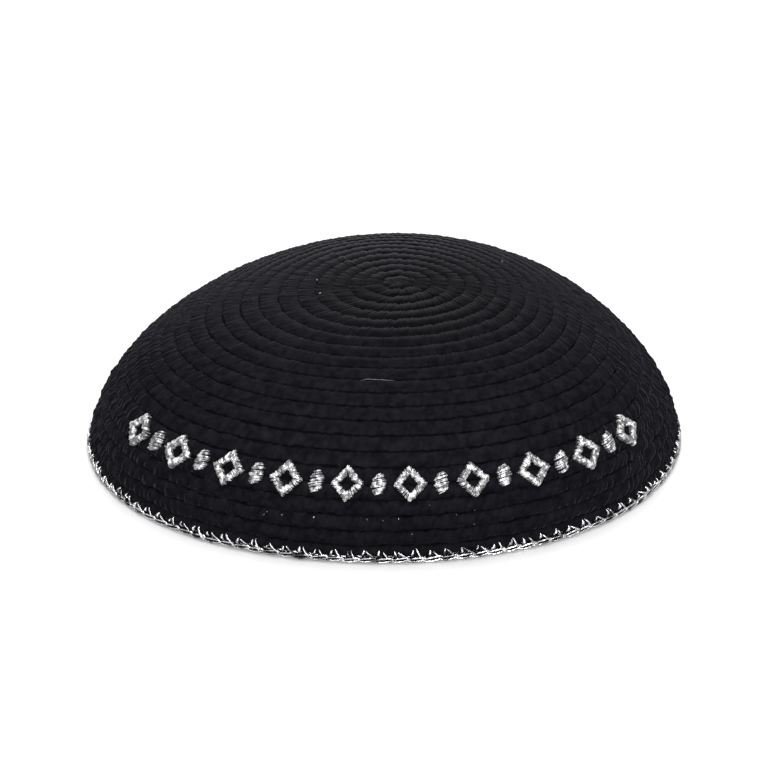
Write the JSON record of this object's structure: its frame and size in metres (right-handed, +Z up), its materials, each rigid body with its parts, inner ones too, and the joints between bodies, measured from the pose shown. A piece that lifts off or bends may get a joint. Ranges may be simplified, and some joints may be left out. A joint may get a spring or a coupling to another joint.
{
  "type": "kippah skullcap",
  "caption": "Crocheted dome skullcap: concentric ribbed rounds, a silver chain-stitched rim and a satin-stitched band of lozenges on the front.",
  "frame": {"origin": "on the surface the cap stands on, at the middle of its box", "axes": "+Z up towards the crown, -Y towards the embroidered front, +X to the right as seen from the front"},
  "size_m": [0.163, 0.1586, 0.044],
  "materials": {
    "black_cotton": "matt mercerised cotton crochet",
    "silver_edging": "silver metallic thread, chain stitched",
    "silver_embroidery": "silver metallic thread, satin stitched"
  },
  "bodies": {
    "root": {"crown": "black_cotton", "edge_trim": "silver_edging", "motif_lozenge_01": "silver_embroidery", "motif_lozenge_02": "silver_embroidery", "motif_lozenge_03": "silver_embroidery", "motif_lozenge_04": "silver_embroidery", "motif_lozenge_05": "silver_embroidery", "motif_lozenge_06": "silver_embroidery", "motif_lozenge_07": "silver_embroidery", "motif_lozenge_08": "silver_embroidery", "motif_lozenge_09": "silver_embroidery", "motif_lozenge_10": "silver_embroidery", "motif_seed_01": "silver_embroidery", "motif_seed_02": "silver_embroidery", "motif_seed_03": "silver_embroidery", "motif_seed_04": "silver_embroidery", "motif_seed_05": "silver_embroidery", "motif_seed_06": "silver_embroidery", "motif_seed_07": "silver_embroidery", "motif_seed_08": "silver_embroidery", "motif_seed_09": "silver_embroidery"}
  },
  "joints": []
}
